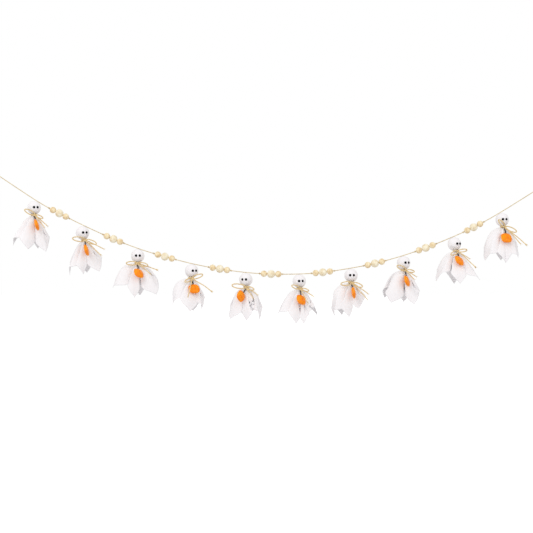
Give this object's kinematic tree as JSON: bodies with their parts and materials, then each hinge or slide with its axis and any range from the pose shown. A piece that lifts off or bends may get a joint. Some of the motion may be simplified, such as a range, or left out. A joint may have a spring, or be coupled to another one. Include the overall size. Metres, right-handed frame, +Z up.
{
  "type": "ghost bead garland",
  "caption": "Hanging garland of small cloth ghosts with twine bows and orange pumpkins, with groups of wooden beads between them on a string.",
  "frame": {"origin": "the point of the left hanging loop that sits on its hook", "axes": "+X runs along the garland to the right hanging loop, -Y is the front that the ghosts face, +Z up"},
  "size_m": [1.3985, 0.1036, 0.3921],
  "materials": {
    "string": "twisted cotton string, matt",
    "twine": "rough jute twine, matt",
    "small_wood": "bare sanded wood",
    "large_wood": "bare sanded wood, paler",
    "cloth": "thin white muslin, matt",
    "pumpkin": "orange paint, glossy"
  },
  "bodies": {
    "root": {"string": "string", "left_end_loop": "string", "right_end_loop": "string", "bead_group_1_left": "small_wood", "bead_group_1_middle": "large_wood", "bead_group_1_right": "small_wood", "bead_group_2_left": "small_wood", "bead_group_2_middle": "large_wood", "bead_group_2_right": "small_wood", "bead_group_3_left": "small_wood", "bead_group_3_middle": "large_wood", "bead_group_3_right": "small_wood", "bead_group_4_left": "small_wood", "bead_group_4_middle": "large_wood", "bead_group_4_right": "small_wood", "bead_group_5_left": "small_wood", "bead_group_5_middle": "large_wood", "bead_group_5_right": "small_wood", "bead_group_6_left": "small_wood", "bead_group_6_middle": "large_wood", "bead_group_6_right": "small_wood", "bead_group_7_left": "small_wood", "bead_group_7_middle": "large_wood", "bead_group_7_right": "small_wood", "bead_group_8_left": "small_wood", "bead_group_8_middle": "large_wood", "bead_group_8_right": "small_wood", "bead_group_9_left": "small_wood", "bead_group_9_middle": "large_wood", "bead_group_9_right": "small_wood", "ghost_1_cloth": "cloth", "ghost_1_bow": "twine", "ghost_1_pumpkin": "pumpkin", "ghost_2_cloth": "cloth", "ghost_2_bow": "twine", "ghost_2_pumpkin": "pumpkin", "ghost_3_cloth": "cloth", "ghost_3_bow": "twine", "ghost_3_pumpkin": "pumpkin", "ghost_4_cloth": "cloth", "ghost_4_bow": "twine", "ghost_4_pumpkin": "pumpkin", "ghost_5_cloth": "cloth", "ghost_5_bow": "twine", "ghost_5_pumpkin": "pumpkin", "ghost_6_cloth": "cloth", "ghost_6_bow": "twine", "ghost_6_pumpkin": "pumpkin", "ghost_7_cloth": "cloth", "ghost_7_bow": "twine", "ghost_7_pumpkin": "pumpkin", "ghost_8_cloth": "cloth", "ghost_8_bow": "twine", "ghost_8_pumpkin": "pumpkin", "ghost_9_cloth": "cloth", "ghost_9_bow": "twine", "ghost_9_pumpkin": "pumpkin", "ghost_10_cloth": "cloth", "ghost_10_bow": "twine", "ghost_10_pumpkin": "pumpkin"}
  },
  "joints": []
}
